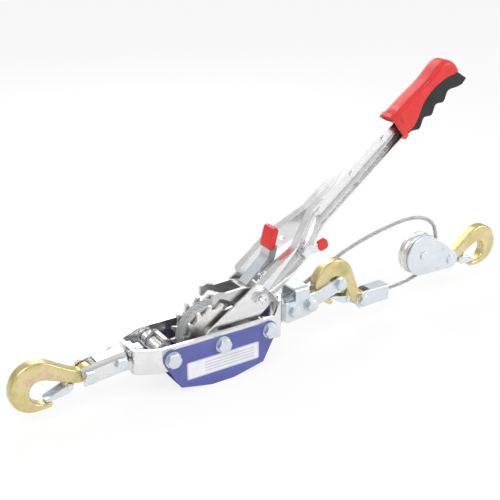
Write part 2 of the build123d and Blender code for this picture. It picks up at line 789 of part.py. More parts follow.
with BuildPart() as trip_lever_cap:
    cap_half = 5 + cap_wall
    with BuildSketch(side(trip_y + cap_wall, anchor_x, anchor_z)) as trip_cap_side:
        with Locations(Location((25, 3.6), 18)):
            RectangleRounded(15, 2 * cap_half, 5)
    extrude(amount=trip_sheet + 2 * cap_wall)
    fillet(trip_lever_cap.edges().filter_by(Axis.Y, reverse=True), radius=cap_wall * 0.8)
    add(trip_lever.part, mode=Mode.SUBTRACT)
pieces["trip_lever_cap"] = trip_lever_cap

# ---------------------------------------------------------------- holding pawl and its spring
hold_pivot = (front_bolt_x, 0)
hold_hub = bolt_d / 2 + 3
hold_arc = [polar(clear_radius, hold_contact_angle - 14 - step) for step in (0, 8, 16)]
hold_tip_radius = root_radius + 3
hold_reach = math.dist(hold_pivot, polar(wheel_radius, hold_contact_angle)) - pawl_clearance


def on_reach(radius):
    """Point at radius from the axle on the arc that the pawl's tip swings along past its tooth."""
    away = -hold_pivot[0]
    x = (away ** 2 + radius ** 2 - hold_reach ** 2) / (2 * away)
    return -x, -math.sqrt(radius ** 2 - x ** 2)


hold_outline = [
    on_reach(clear_radius + 5), on_reach(clear_radius), on_reach(hold_tip_radius),
    polar(hold_tip_radius, hold_contact_angle - 10.5),
    *hold_arc, (front_bolt_x + 7, 7), (front_bolt_x + 4, 17), (front_bolt_x - 3, 17),
    (front_bolt_x - 8, 4), (front_bolt_x - 6, -8), (front_bolt_x + 10, -15),
    polar(clear_radius + 9, hold_contact_angle + 4),
]
hold_released = [turned(p, hold_pivot, -hold_release) for p in hold_outline]
with BuildPart() as holding_pawl:
    with BuildSketch(side(-arm_near)) as hold_side:
        with BuildLine():
            Polyline(*hold_released, close=True)
        make_face()
        with Locations(hold_pivot):
            Circle(hold_hub + 1)
            Circle(bolt_d / 2 + pin_gap, mode=Mode.SUBTRACT)
    extrude(amount=pawl_thickness)
    mirror(about=Plane.XZ)
    with BuildSketch(side(-arm_near, front_bolt_x, 0)):
        Circle(hold_hub)
        Circle(bolt_d / 2 + pin_gap, mode=Mode.SUBTRACT)
    extrude(amount=-2 * arm_near)
    bar_centre = turned((front_bolt_x + 0.5, 14.5), hold_pivot, -hold_release)
    with BuildSketch(side(-arm_near, *bar_centre)):
        RectangleRounded(6, 3, 1)
    extrude(amount=-2 * arm_near)
pieces["holding_pawl"] = holding_pawl

with BuildPart() as holding_spring:
    coil_inner = hold_hub + 0.4
    coil_step = 1.25 * coil_wire
    inside_turns = int((2 * arm_near - 1) / coil_step)
    outside_turns = int((rail_inner - wheel_outer - 1) / coil_step)
    coil_starts = [arm_near - 0.5 - k * coil_step for k in range(inside_turns)]
    coil_starts += [rail_inner - 0.6 - k * coil_step for k in range(outside_turns)]
    coil_starts += [-wheel_outer - 0.4 - k * coil_step for k in range(outside_turns)]
    for y in coil_starts:
        with BuildSketch(side(y, front_bolt_x, 0)):
            Circle(coil_inner + coil_wire)
            Circle(coil_inner, mode=Mode.SUBTRACT)
        extrude(amount=coil_wire)
    for low, high in ((-arm_near + 0.5, arm_near - 0.5), (wheel_outer + 0.4, rail_inner - 0.6),
                      (-rail_inner + 0.6, -wheel_outer - 0.4)):
        with BuildSketch(side(high, front_bolt_x - coil_inner - coil_wire / 2, 0)):
            Rectangle(coil_wire * 0.8, 1.5)
        extrude(amount=high - low)
pieces["holding_spring"] = holding_spring


# ---------------------------------------------------------------- swivel and front clevis
def front_cross(x):
    """Plane across the winch at x, facing -X."""
    return Plane(origin=(x, 0, axle_height), x_dir=(0, 1, 0), z_dir=(-1, 0, 0))


swivel_nut_af = 22.0
swivel_nut_height = 10.0
plate_inside = nose_x + strap + nose_plate_thickness
with BuildPart() as swivel_bolt:
    with BuildSketch(front_cross(plate_inside + swivel_nut_height + 4)):
        Circle(swivel_shank_d / 2)
    extrude(amount=plate_inside + swivel_nut_height + 4 - eye_x)
    with BuildSketch(side(0, eye_x)):
        Circle(eye_radius)
    extrude(amount=eye_half_thickness, both=True)
    with BuildSketch(side(0, eye_x)):
        Circle(small_bolt_d / 2)
    extrude(amount=2 * eye_half_thickness, both=True, mode=Mode.SUBTRACT)
pieces["swivel_bolt"] = swivel_bolt

with BuildPart() as swivel_nut:
    with BuildSketch(front_cross(plate_inside + swivel_nut_height + running_gap)):
        RegularPolygon(swivel_nut_af / 2, 6, major_radius=False)
        Circle(swivel_shank_d / 2, mode=Mode.SUBTRACT)
    extrude(amount=swivel_nut_height)
pieces["swivel_nut"] = swivel_nut

droop = math.radians(clevis_droop)
hook_x = eye_x - clevis_pitch * math.cos(droop)
hook_z = -clevis_pitch * math.sin(droop)
clevis_cross = Plane(origin=(eye_x, 0, axle_height), x_dir=(0, -1, 0),
                     z_dir=(-math.cos(droop), 0, -math.sin(droop)))
with BuildPart() as front_clevis:
    clevis_top = clevis_half_height + 1.5
    clevis_bottom = -clevis_half_height
    with BuildSketch(clevis_cross.offset(-8)) as clevis_section:
        with BuildLine():
            Polyline((-clevis_half_width, clevis_bottom), (-clevis_half_width, clevis_top),
                     (clevis_half_width, clevis_top), (clevis_half_width, clevis_bottom), close=True)
        make_face()
        fillet(clevis_section.vertices().group_by(Axis.Y)[-1], radius=2 * clevis_sheet)
        with BuildLine():
            Polyline((-clevis_inner, clevis_bottom - 1), (-clevis_inner, clevis_top - clevis_sheet),
                     (clevis_inner, clevis_top - clevis_sheet), (clevis_inner, clevis_bottom - 1), close=True)
        make_face(mode=Mode.SUBTRACT)
    extrude(amount=clevis_pitch + 16)
    for x, z in ((eye_x, 0), (hook_x, hook_z)):
        with BuildSketch(side(0, x, z)):
            Circle(small_bolt_d / 2)
        extrude(amount=2 * clevis_half_width, both=True, mode=Mode.SUBTRACT)
    with BuildSketch(side(0, hook_x, hook_z, clevis_droop)):
        with Locations((-3, clevis_half_height)):
            Rectangle(2 * hook_eye_radius + 10, 10)
    extrude(amount=hook_half_thickness + 1, both=True, mode=Mode.SUBTRACT)
pieces["front_clevis"] = front_clevis
pieces["swivel_pivot_bolt"] = hex_bolt(
    [(eye_x, 0)], clevis_half_width, small_bolt_d, small_af, small_head, small_head)
pieces["front_hook_bolt"] = hex_bolt(
    [(hook_x, hook_z)], clevis_half_width, small_bolt_d, small_af, small_head, small_head)


# ---------------------------------------------------------------- forged hooks
def hook_plane(x, z, angle, deep_side):
    """Plane of a hook: local x from the eye along the shank, local y towards the deep back."""
    a = math.radians(angle)
    return Plane(origin=(x, 0, axle_height + z), x_dir=(math.cos(a), 0, math.sin(a)),
                 z_dir=(0, -deep_side, 0))


def throat_point(angle, radius=throat_radius):
    return throat_x + radius * math.cos(math.radians(angle)), radius * math.sin(math.radians(angle))


latch_pivot = (24.0, -8.0)
latch_lug_radius = 5.0
latch_lug_half = 5.5
latch_rivet_radius = 2.2
latch_tip = (53.5, -14.2)


def forged_hook(place):
    """Hook with a deep back, an open throat and a flattened eye."""
    with BuildPart() as hook:
        with BuildSketch(place) as hook_side:
            with BuildLine():
                back = Spline(
                    (4, 6), (16, 12.5), (31, 23), (46, 33.5), (62, 37.5), (78, 33), (90, 19), (93.5, 1),
                    (87, -14.5), (73, -23.5), (58, -25.5), (50, -25.5),
                )
                inside = Spline(
                    (51, -18.5), (61, -16.5), (68, -10.5), throat_point(5), throat_point(48),
                    throat_point(95), (44, 8.5), (30, 1), (15, -6.5), (5, -8),
                )
                TangentArc(back @ 1, inside @ 0, tangent=back % 1)
                Line(inside @ 1, back @ 0)
            make_face()
            Circle(hook_eye_radius)
            fillet(hook_side.vertices().filter_by(
                lambda v: abs(math.hypot(v.X, v.Y) - hook_eye_radius) < 0.01), radius=6)
        extrude(amount=hook_half_thickness, both=True)
        fillet(hook.edges().filter_by(lambda e: abs(abs(e.center().Y) - hook_half_thickness) < 0.01),
               radius=hook_edge)
        with BuildSketch(place):
            with BuildLine():
                px, py = latch_pivot
                Polyline((px - 9, py + 6), (px - latch_lug_radius, py), (px + latch_lug_radius, py),
                         (px + 9, py + 11), close=True)
            make_face()
            with Locations(latch_pivot):
                Circle(latch_lug_radius)
        extrude(amount=latch_lug_half, both=True)
        with BuildSketch(place):
            Circle(small_bolt_d / 2 + pin_gap)
            with Locations(latch_pivot):
                Circle(latch_rivet_radius)
        extrude(amount=2 * hook_half_thickness, both=True, mode=Mode.SUBTRACT)
    return hook


def hook_latch(place):
    """Folded sheet latch: two ears on the hook's lug, closing against the inside of the nose."""
    px, py = latch_pivot
    tx, ty = latch_tip
    inner = latch_lug_half + running_gap
    with BuildPart() as latch:
        with BuildSketch(place):
            with BuildLine():
                Polyline((px - 3.5, py + 3), (px + 4, py + 3), (tx, ty), (tx + 0.3, ty - 2.6),
                         (px + 12, py - 8.5), (px + 2, py - 7.5), (px - 4, py - 3), close=True)
            make_face()
            with Locations(latch_pivot):
                Circle(4.2)
        extrude(amount=inner + latch_sheet, both=True)
        with BuildSketch(place):
            with BuildLine():
                Polyline((px - 10, py + 10), (tx + 8, ty + 20), (tx + 8, ty - 0.7), (tx, ty - 1.2),
                         (px + 12, py - 7.0), (px + 2, py - 5.9), (px - 10, py - 5.9), close=True)
            make_face()
        extrude(amount=inner, both=True, mode=Mode.SUBTRACT)
        with BuildSketch(place):
            with Locations(latch_pivot):
                Circle(latch_rivet_radius + pin_gap)
        extrude(amount=2 * inner, both=True, mode=Mode.SUBTRACT)
    return latch


def latch_rivet(place):
    """Rivet that carries the latch on the hook's lug."""
    outer = latch_lug_half + running_gap + latch_sheet + running_gap
    with BuildPart() as rivet:
        with BuildSketch(place):
            with Locations(latch_pivot):
                Circle(latch_rivet_radius)
        extrude(amount=outer, both=True)
        for end in (-outer - 1.2, outer):
            with BuildSketch(place.offset(end)):
                with Locations(latch_pivot):
                    Circle(latch_rivet_radius + 1.2)
            extrude(amount=1.2)
    return rivet


hook_places = {
    "front": hook_plane(hook_x, hook_z, 180 + front_hook_droop, -1),
    "middle": hook_plane(socket_bolt_x, socket_z, middle_hook_angle, -1),
    "block": hook_plane(block_hook_x, block_hook_z, block_hook_angle, 1),
}
for label, place in hook_places.items():
    pieces[f"{label}_hook"] = forged_hook(place)
    pieces[f"{label}_hook_latch"] = hook_latch(place)
    pieces[f"{label}_latch_rivet"] = latch_rivet(place)

# ---------------------------------------------------------------- pulley block
for label, y in (("block_cheek_near", -block_inner), ("block_cheek_far", block_outer)):
    with BuildPart() as cheek:
        with BuildSketch(side(y)):
            with Locations((sheave_x, sheave_z)):
                Circle(cheek_radius)
            with Locations((block_hook_x, block_hook_z)):
                Circle(cheek_small_radius)
            make_hull()
        extrude(amount=cheek_sheet)
    pieces[label] = cheek

with BuildPart() as sheave:
    with BuildSketch(Plane(origin=(sheave_x, 0, axle_height + sheave_z), x_dir=(1, 0, 0), z_dir=(0, 0, 1))):
        with BuildLine():
            rim = sheave_flange_radius
            Polyline((bolt_d / 2 + pin_gap, -sheave_half_width), (rim, -sheave_half_width),
                     (rim, -sheave_half_width + 1.5))
            ThreePointArc((rim, -sheave_half_width + 1.5), (groove_radius, 0), (rim, sheave_half_width - 1.5))
            Polyline((rim, sheave_half_width - 1.5), (rim, sheave_half_width),
                     (bolt_d / 2 + pin_gap, sheave_half_width), (bolt_d / 2 + pin_gap, -sheave_half_width))
        make_face()
    revolve(axis=Axis((sheave_x, 0, axle_height + sheave_z), (0, 1, 0)))
pieces["sheave"] = sheave

rivet_head = 2.5


def block_rivet(x, z, d, head_d):
    """Rivet through both cheeks with low round heads."""
    with BuildPart() as rivet:
        with BuildSketch(side(0, x, z)):
            Circle(d / 2)
        extrude(amount=block_outer, both=True)
        for y in (-block_outer, block_outer + rivet_head):
            with BuildSketch(side(y, x, z)):
                Circle(head_d / 2)
            extrude(amount=rivet_head)
        fillet(rivet.edges().filter_by(GeomType.CIRCLE).sort_by(Axis.Y)[0], radius=rivet_head * 0.6)
        fillet(rivet.edges().filter_by(GeomType.CIRCLE).sort_by(Axis.Y)[-1], radius=rivet_head * 0.6)
    return rivet


pieces["sheave_axle"] = block_rivet(sheave_x, sheave_z, bolt_d, 14)
pieces["block_hook_rivet"] = block_rivet(block_hook_x, block_hook_z, small_bolt_d, 14)

spacer_places = [(391.0, 28.5), (382.5, 0.0)]
spacer_radius = 2.4
spacer_rivet_radius = 1.8
with BuildPart() as block_spacers:
    for x, z in spacer_places:
        with BuildSketch(side(0, x, z)):
            Circle(spacer_radius)
        extrude(amount=block_inner, both=True)
        with BuildSketch(side(0, x, z)):
            Circle(spacer_rivet_radius)
        extrude(amount=block_outer + 1, both=True)
pieces["block_spacers"] = block_spacers

for label in ("block_cheek_near", "block_cheek_far"):
    with BuildPart() as drilled:
        add(pieces[label].part)
        for x, z, d in ((sheave_x, sheave_z, bolt_d), (block_hook_x, block_hook_z, small_bolt_d),
                        *[(px, pz, 2 * spacer_rivet_radius) for px, pz in spacer_places]):
            with BuildSketch(side(0, x, z)):
                Circle(d / 2)
            extrude(amount=2 * block_outer, both=True, mode=Mode.SUBTRACT)
    pieces[label] = drilled

# ---------------------------------------------------------------- cable socket
with BuildPart() as cable_socket:
    with BuildSketch(side(0)) as socket_side:
        with BuildLine():
            Polyline(
                (socket_bolt_x - 6, socket_z - socket_half_height), (socket_end_x, socket_z - socket_half_height),
                (socket_end_x, socket_z + socket_half_height), (socket_bolt_x + 6, socket_z + socket_half_height),
                (socket_bolt_x - 10, socket_z + 3), (socket_bolt_x - 10, socket_z - 8), close=True,
            )
        make_face()
        fillet(socket_side.vertices().filter_by(lambda p: p.X < socket_bolt_x + 8), radius=4)
    extrude(amount=socket_half_width, both=True)
    fillet(cable_socket.edges().filter_by(Axis.X).group_by(Axis.Z)[-1], radius=1.5)
    slot_end = socket_bolt_x + hook_eye_radius + 4
    with BuildSketch(side(0)):
        with Locations(((slot_end + socket_bolt_x - 20) / 2, socket_z)):
            Rectangle(slot_end - socket_bolt_x + 20, 4 * socket_half_height)
    extrude(amount=hook_half_thickness + running_gap, both=True, mode=Mode.SUBTRACT)
    with BuildSketch(side(0, socket_bolt_x, socket_z)):
        Circle(small_bolt_d / 2)
    extrude(amount=2 * socket_half_width, both=True, mode=Mode.SUBTRACT)
pieces["cable_socket"] = cable_socket
pieces["socket_bolt"] = hex_bolt(
    [(socket_bolt_x, socket_z)], socket_half_width, small_bolt_d, small_af, small_head, small_head)

# ---------------------------------------------------------------- free cable
# Route as x, y and z from the axle: off the top of the drum, under the guide, past the far
# side of the middle hook, up in a loop, round the sheave and back to the socket.
wrap_radius = groove_radius + cable_d / 2 + cord_gap
cable_route = [
    (14.5, 0, 43.2), (62, 0, 29.0), (113, 0.5, 17.0), (150, 9, 22.5), (187, 14.5, 35.0),
    (224, 14, 53.5), (258, 8, 69.0), (290, 2, 80.0), (324, 0, 86.0), (358, 0, 82.0),
    (382, 0, 64.0), (386.0, 0, 22.5), (375.2, 0, 1.8), (332, 0, -15.0), (socket_end_x, 0, socket_z),
]
wrap_points = (11, 12)


def route_radii(route):
    """Bend radius at each inner point: the sheave's where it wraps, else from the shorter run."""
    radii = []
    for k in range(1, len(route) - 1):
        before = Vector(*route[k]) - Vector(*route[k - 1])
        after = Vector(*route[k + 1]) - Vector(*route[k])
        turn = math.radians(before.get_angle(after))
        radius = 0.45 * min(before.length, after.length) / math.tan(turn / 2)
        radii.append(wrap_radius if k in wrap_points else radius)
    return radii


cable_radii = route_radii(cable_route)
print("cable radii", [round(r, 1) for r in cable_radii])
with BuildPart() as cable:
    with BuildLine() as cable_line:
        FilletPolyline(*[(x, y, axle_height + z) for x, y, z in cable_route], radius=cable_radii)
    first_run = Vector(*cable_route[1]) - Vector(*cable_route[0])
    with BuildSketch(Plane(origin=cable_line.wire() @ 0, z_dir=first_run)):
        Circle(cable_d / 2)
    sweep(path=cable_line.wire())
cable_length = cable_line.wire().length
print("cable length", round(cable_length, 1), "volume over section times length",
      round(cable.part.volume / (math.pi * cable_d ** 2 / 4 * cable_length), 4))
pieces["cable"] = cable

for name, piece in pieces.items():
    piece.part.label = name
    export_step(piece.part, f"parts/{name}.step")
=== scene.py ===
import json
import math
import bmesh
import bpy
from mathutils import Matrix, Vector


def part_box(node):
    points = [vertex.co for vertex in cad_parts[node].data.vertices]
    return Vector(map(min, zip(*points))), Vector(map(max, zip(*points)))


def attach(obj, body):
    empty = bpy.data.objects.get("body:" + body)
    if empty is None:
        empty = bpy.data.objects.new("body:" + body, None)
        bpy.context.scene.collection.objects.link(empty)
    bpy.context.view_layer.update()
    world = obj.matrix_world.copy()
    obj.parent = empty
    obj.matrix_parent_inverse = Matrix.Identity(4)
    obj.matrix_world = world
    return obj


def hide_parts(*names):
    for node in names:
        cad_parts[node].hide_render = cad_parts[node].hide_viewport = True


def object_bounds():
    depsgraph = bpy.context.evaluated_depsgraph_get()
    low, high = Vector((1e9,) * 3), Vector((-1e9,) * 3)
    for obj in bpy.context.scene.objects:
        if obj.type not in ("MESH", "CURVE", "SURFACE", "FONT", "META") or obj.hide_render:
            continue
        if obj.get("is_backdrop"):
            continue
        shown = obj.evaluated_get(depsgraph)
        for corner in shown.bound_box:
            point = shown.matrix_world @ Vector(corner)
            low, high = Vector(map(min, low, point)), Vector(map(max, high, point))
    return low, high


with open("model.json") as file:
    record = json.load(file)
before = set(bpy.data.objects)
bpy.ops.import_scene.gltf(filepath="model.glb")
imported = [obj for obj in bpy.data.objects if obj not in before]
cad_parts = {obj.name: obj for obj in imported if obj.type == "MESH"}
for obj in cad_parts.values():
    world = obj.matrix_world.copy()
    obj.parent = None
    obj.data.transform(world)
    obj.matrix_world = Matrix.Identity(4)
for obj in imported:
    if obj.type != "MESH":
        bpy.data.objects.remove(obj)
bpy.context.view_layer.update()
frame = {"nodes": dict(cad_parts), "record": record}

# Hand-operated cable puller.  Metres, +Z up, X along the frame, Y along the drum's axle.
nodes = frame["nodes"]
bodies = frame["record"]["behaviour"]["bodies"]
body_of_node = {node: body for body, group in bodies.items() for node in group}
slot_of_node = {part["node"]: part["material_slot"] for part in frame["record"]["subparts"]}
pivot = {joint["name"]: Vector(joint["pos_m"]) for joint in frame["record"]["behaviour"]["joints"]}
axle = pivot["drum_turn"]
cable_d = 0.0056

# ---------------------------------------------------------------- camera
azimuth = math.radians(-32.64)
elevation = math.radians(23.17)
towards_camera = Vector((
    math.sin(azimuth) * math.cos(elevation),
    -math.cos(azimuth) * math.cos(elevation),
    math.sin(elevation),
))
camera_data = bpy.data.cameras.new("camera")
camera_data.lens = 64.8
camera_data.sensor_width = 36
camera_data.clip_start = 0.01
camera = bpy.data.objects.new("camera", camera_data)
camera.location = (-0.4975, -0.8753, 0.5954)
camera.rotation_mode = "QUATERNION"
camera.rotation_quaternion = towards_camera.to_track_quat("Z", "Y")
bpy.context.collection.objects.link(camera)
bpy.context.scene.camera = camera


# ---------------------------------------------------------------- materials
class Value:
    """A socket in a material's nodes; the arithmetic operators add Math nodes."""

    def __init__(self, tree, link):
        self.tree = tree
        self.link = link

    def maths(self, operation, *operands):
        node = self.tree.nodes.new("ShaderNodeMath")
        node.operation = operation
        for socket, operand in zip(node.inputs, operands):
            plug(self.tree, socket, operand)
        return Value(self.tree, node.outputs[0])

    def __add__(self, other):
        return self.maths("ADD", self, other)

    def __radd__(self, other):
        return self.maths("ADD", other, self)

    def __sub__(self, other):
        return self.maths("SUBTRACT", self, other)

    def __rsub__(self, other):
        return self.maths("SUBTRACT", other, self)

    def __mul__(self, other):
        return self.maths("MULTIPLY", self, other)

    def __rmul__(self, other):
        return self.maths("MULTIPLY", other, self)

    def __truediv__(self, other):
        return self.maths("DIVIDE", self, other)

    def __gt__(self, other):
        return self.maths("GREATER_THAN", self, other)

    def __lt__(self, other):
        return self.maths("LESS_THAN", self, other)

    def sine(self):
        return self.maths("SINE", self)

    def fraction(self):
        return self.maths("FRACT", self)

    def size(self):
        return self.maths("ABSOLUTE", self)


def plug(tree, socket, operand):
    if isinstance(operand, Value):
        tree.links.new(operand.link, socket)
    else:
        socket.default_value = operand


class Finish:
    """A surface finish: a material with its nodes."""

    def __init__(self, name, **constants):
        self.material = bpy.data.materials.new(name)
        self.material.use_nodes = True
        self.tree = self.material.node_tree
        self.shader = self.tree.nodes["Principled BSDF"]
        for socket, value in constants.items():
            self.shader.inputs[socket.replace("_", " ")].default_value = value

    def node(self, kind, settings=None, inputs=None, output=0):
        """A node of that kind: its settings first, then its sockets' values or links."""
        node = self.tree.nodes.new(kind)
        for name, value in (settings or {}).items():
            setattr(node, name, value)
        for socket, value in (inputs or {}).items():
            plug(self.tree, node.inputs[socket], value)
        return Value(self.tree, node.outputs[output])

    def place(self, stretch=(1, 1, 1)):
        """Object coordinates in metres, stretched along each axis."""
        where = self.node("ShaderNodeTexCoord", output="Object")
        return self.node("ShaderNodeVectorMath", {"operation": "MULTIPLY"}, {0: where, 1: stretch})

    def noise(self, scale, detail=3.0, roughness=0.55, stretch=(1, 1, 1)):
        return self.node("ShaderNodeTexNoise", inputs={
            "Vector": self.place(stretch), "Scale": scale, "Detail": detail, "Roughness": roughness,
        })

    def ramp(self, value, stops):
        """Colours at positions along a value."""
        node = self.tree.nodes.new("ShaderNodeValToRGB")
        points = node.color_ramp.elements
        while len(points) < len(stops):
            points.new(0.5)
        for point, (position, colour) in zip(points, stops):
            point.position = position
            point.color = (*colour, 1)
        self.tree.links.new(value.link, node.inputs[0])
        return Value(self.tree, node.outputs[0])

    def blend(self, factor, first, second):
        node = self.tree.nodes.new("ShaderNodeMix")
        node.data_type = "RGBA"
        for socket, value in ((node.inputs[0], factor), (node.inputs[6], first), (node.inputs[7], second)):
            plug(self.tree, socket, (*value, 1) if isinstance(value, tuple) else value)
        return Value(self.tree, node.outputs[2])

    def surface(self, height=None, depth=0.0001, edge=0.0, **links):
        """Links the shader's sockets; height in depths gives relief and edge rounds corners."""
        for socket, value in links.items():
            plug(self.tree, self.shader.inputs[socket.replace("_", " ")], value)
        normal = None
        if edge:
            normal = self.node("ShaderNodeBevel", {"samples": 4}, {"Radius": edge})
        if height is not None:
            inputs = {"Height": height, "Distance": depth, "Strength": 1.0}
            if normal is not None:
                inputs["Normal"] = normal
            normal = self.node("ShaderNodeBump", inputs=inputs)
        if normal is not None:
            plug(self.tree, self.shader.inputs["Normal"], normal)
        return self.material


def bright_plate(name, light, dark, low_gloss, high_gloss, grain, stretch, edge=0.0005):
    """Bright zinc or chrome plate over pressed steel: cloudy tone, fine lengthwise grain and scuffs."""
    finish = Finish(name, Metallic=1.0)
    cloud = finish.noise(38, 4)
    fine = finish.noise(grain, 2, 0.6, stretch)
    scuff = finish.noise(420, 5, 0.7, (1, 1, 0.25))
    tone = finish.ramp(cloud * 0.45 + fine * 0.55, ((0.25, dark), (0.70, light)))
    worn = finish.blend((scuff > 0.70) * 0.22, tone, tuple(0.85 * c for c in dark))
    gloss = low_gloss + (high_gloss - low_gloss) * cloud + (fine - 0.5) * 0.08 + (scuff > 0.70) * 0.08
    return finish.surface(fine * 0.6 + scuff * 0.4, 0.00004, edge, Base_Color=worn, Roughness=gloss)


def yellow_plate():
    """Yellow chromate over a forged hook: olive, gold and rose clouds on a lightly pitted skin."""
    finish = Finish("yellow_zinc_steel", Metallic=0.92)
    cloud = finish.noise(26, 3, 0.5)
    film = finish.noise(75, 4, 0.6)
    pits = finish.noise(620, 3, 0.6)
    tone = finish.ramp(cloud * 0.55 + film * 0.45, (
        (0.30, (0.42, 0.44, 0.22)), (0.45, (0.66, 0.56, 0.26)), (0.56, (0.74, 0.64, 0.36)),
        (0.66, (0.70, 0.50, 0.34)), (0.78, (0.50, 0.52, 0.30)),
    ))
    worn = finish.blend((pits > 0.64) * 0.4, tone, (0.33, 0.28, 0.14))
    gloss = 0.26 + 0.20 * film + 0.12 * (pits > 0.6)
    return finish.surface(pits * 0.7 + film, 0.00012, 0.0008, Base_Color=worn, Roughness=gloss)


def blue_paint():
    """Satin powder coat with orange peel, rubbed lighter in places."""
    finish = Finish("blue_paint", Coat_Weight=0.25, Coat_Roughness=0.22)
    peel = finish.noise(900, 2, 0.5)
    cloud = finish.noise(30, 3)
    rub = finish.noise(160, 5, 0.7, (0.4, 1, 1))
    tone = finish.ramp(cloud, ((0.3, (0.085, 0.095, 0.34)), (0.7, (0.115, 0.125, 0.42))))
    worn = finish.blend((rub > 0.68) * 0.35, tone, (0.22, 0.24, 0.52))
    return finish.surface(peel, 0.00006, 0.0008, Base_Color=worn, Roughness=0.36 + 0.14 * rub)


def red_plastic():
    finish = Finish("red_plastic", Specular_IOR_Level=0.5)
    grain = finish.noise(1500, 2)
    cloud = finish.noise(45, 3)
    tone = finish.ramp(cloud, ((0.3, (0.62, 0.018, 0.016)), (0.7, (0.76, 0.03, 0.024))))
    return finish.surface(grain, 0.00004, 0.0008, Base_Color=tone, Roughness=0.30 + 0.14 * cloud)


def black_rubber():
    finish = Finish("black_rubber", Specular_IOR_Level=0.4)
    grain = finish.node("ShaderNodeTexVoronoi", inputs={"Vector": finish.place(), "Scale": 1100.0})
    cloud = finish.noise(60, 3)
    tone = finish.ramp(cloud, ((0.3, (0.010, 0.010, 0.011)), (0.75, (0.026, 0.026, 0.028))))
    return finish.surface(grain, 0.00012, 0.0010, Base_Color=tone, Roughness=0.52 + 0.2 * cloud)


def wire_strands():
    """Galvanised rope: each strand's wires run across it, with painted shade dark in the grooves between the
    strands.
    """
    finish = Finish("wire_rope", Metallic=0.7)
    along = finish.node("ShaderNodeAttribute", {"attribute_name": "along"}, output="Fac")
    around = finish.node("ShaderNodeAttribute", {"attribute_name": "around"}, output="Fac")
    wires = (around * 42 + along * 2600).sine() * 0.5 + 0.5
    groove = (around * 3).sine().size()
    cloud = finish.noise(140, 4)
    bright = finish.ramp(cloud, ((0.3, (0.58, 0.59, 0.60)), (0.7, (0.80, 0.81, 0.82))))
    # painted shade: the colour blends towards dark grey in the grooves between the strands, where the lobed
    # section dips
    tone = finish.blend((1 - groove) * 0.7, bright, (0.16, 0.16, 0.155))
    return finish.surface(wires, 0.00012, 0, Base_Color=tone, Roughness=0.32 + 0.2 * cloud)


def label_film():
    """Plain white film: a border and rows of blank bars, with no lettering."""
    finish = Finish("label_film", Coat_Weight=0.3, Coat_Roughness=0.15)
    low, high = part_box("guard_label")
    where = finish.node("ShaderNodeSeparateXYZ", inputs={"Vector": finish.place()}, output="X")
    height = finish.node("ShaderNodeSeparateXYZ", inputs={"Vector": finish.place()}, output="Z")
    across = (where - low.x) / (high.x - low.x)
    up = (height - low.z) / (high.z - low.z)
    rows = (((up * 6).fraction() - 0.5).size() < 0.2) * (up > 0.17) * (up < 0.83)
    bars = rows * (across > 0.24) * (across < 0.93)
    border = 1 - (((across - 0.5).size() < 0.485) * ((up - 0.5).size() < 0.44))
    paper = finish.ramp(finish.noise(90, 3), ((0.3, (0.78, 0.79, 0.82)), (0.7, (0.86, 0.87, 0.89))))
    tone = finish.blend(bars * 0.5, paper, (0.30, 0.33, 0.46))
    tone = finish.blend(border * 0.55, tone, (0.30, 0.33, 0.55))
    return finish.surface(finish.noise(700, 2), 0.00002, 0, Base_Color=tone, Roughness=0.3 + 0.1 * bars)


materials = {
    "chromed_steel": bright_plate(
        "chromed_steel", (0.86, 0.86, 0.86), (0.70, 0.70, 0.71), 0.16, 0.34, 260, (0.12, 1, 0.5)),
    "zinc_steel": bright_plate(
        "zinc_steel", (0.80, 0.84, 0.87), (0.62, 0.68, 0.73), 0.24, 0.50, 500, (1, 1, 1)),
    "ratchet_steel": bright_plate(
        "ratchet_steel", (0.88, 0.87, 0.85), (0.68, 0.67, 0.66), 0.20, 0.46, 700, (0.3, 1, 0.3)),
    "dark_steel": bright_plate(
        "dark_steel", (0.70, 0.70, 0.70), (0.48, 0.48, 0.49), 0.24, 0.48, 600, (1, 1, 1)),
    "yellow_zinc_steel": yellow_plate(),
    "blue_paint": blue_paint(),
    "label_film": label_film(),
    "wire_rope": wire_strands(),
    "red_plastic": red_plastic(),
    "black_rubber": black_rubber(),
}


